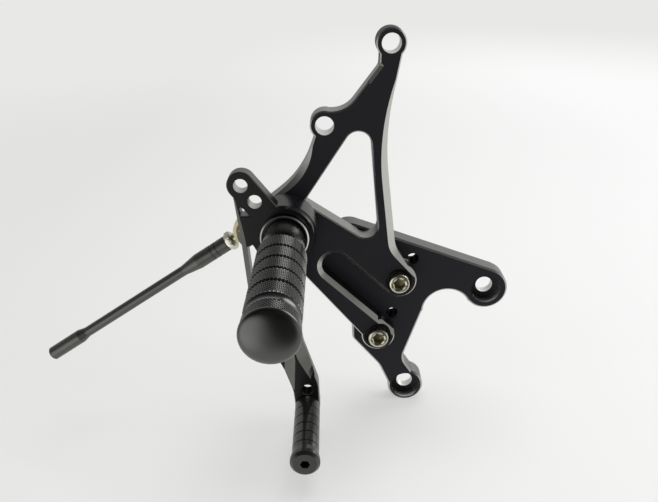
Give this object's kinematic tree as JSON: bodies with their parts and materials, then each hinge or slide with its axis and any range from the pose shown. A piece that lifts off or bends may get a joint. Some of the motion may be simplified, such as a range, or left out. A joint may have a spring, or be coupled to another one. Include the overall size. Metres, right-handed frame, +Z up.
{
  "type": "motorbike rear set footrest",
  "caption": "Left-hand motorbike rear set: bolted plates with a fixed knurled foot peg, a pivoting skeleton gear lever with toe peg, and a ball-jointed shift rod.",
  "frame": {"origin": "centre of the lower frame bolt hole, on the face against the frame", "axes": "+X to the rear of the motorbike, +Z up, -Y outboard along the foot peg"},
  "size_m": [0.231, 0.127, 0.1959],
  "materials": {
    "black_anodised": "satin black anodised",
    "peg_black": "knurled black anodised",
    "cap_black": "satin moulded",
    "toe_grey": "bead blasted dark grey anodised",
    "rod_black": "satin black anodised",
    "screw_steel": "pale zinc plated",
    "bright_steel": "ground bright steel",
    "yellow_zinc": "yellow zinc plated",
    "liner_bronze": "sintered bronze",
    "seal_rubber": "moulded nitrile"
  },
  "bodies": {
    "bracket": {"mounting_plate": "black_anodised", "peg_plate": "black_anodised", "plate_screws": "screw_steel", "pivot_sleeve": "bright_steel", "pivot_shim": "bright_steel", "bearing_spacer": "bright_steel", "bearing_inner_rings": "bright_steel", "bearing_balls": "bright_steel", "peg_collar": "black_anodised", "peg_barrel": "peg_black", "end_cap": "cap_black", "peg_bolt_washer": "bright_steel", "peg_bolt": "screw_steel"},
    "lever": {"gear_lever": "black_anodised", "bearing_outer_rings": "bright_steel", "bearing_seals": "seal_rubber", "toe_peg": "toe_grey", "joint_bolt": "bright_steel", "joint_washer": "bright_steel"},
    "ball": {"joint_ball": "bright_steel"},
    "rod": {"joint_eye": "yellow_zinc", "joint_liner": "liner_bronze", "lock_nut": "bright_steel", "shift_rod": "rod_black"}
  },
  "joints": [
    {"name": "lever_pivot", "type": "hinge", "parent": "bracket", "child": "lever", "pos_m": [-0.061, -0.0339, 0.099], "axis": [0, 1, 0], "range_deg": [-10, 90]},
    {"name": "rod_swing", "type": "hinge", "parent": "lever", "child": "ball", "pos_m": [-0.07876, -0.02595, 0.0974], "axis": [0, 1, 0], "range_deg": [-66, 30]},
    {"name": "rod_tilt", "type": "hinge", "parent": "ball", "child": "rod", "pos_m": [-0.07876, -0.02595, 0.0974], "axis": [0.5534, 0, -0.8329], "range_deg": [0, 12]}
  ]
}
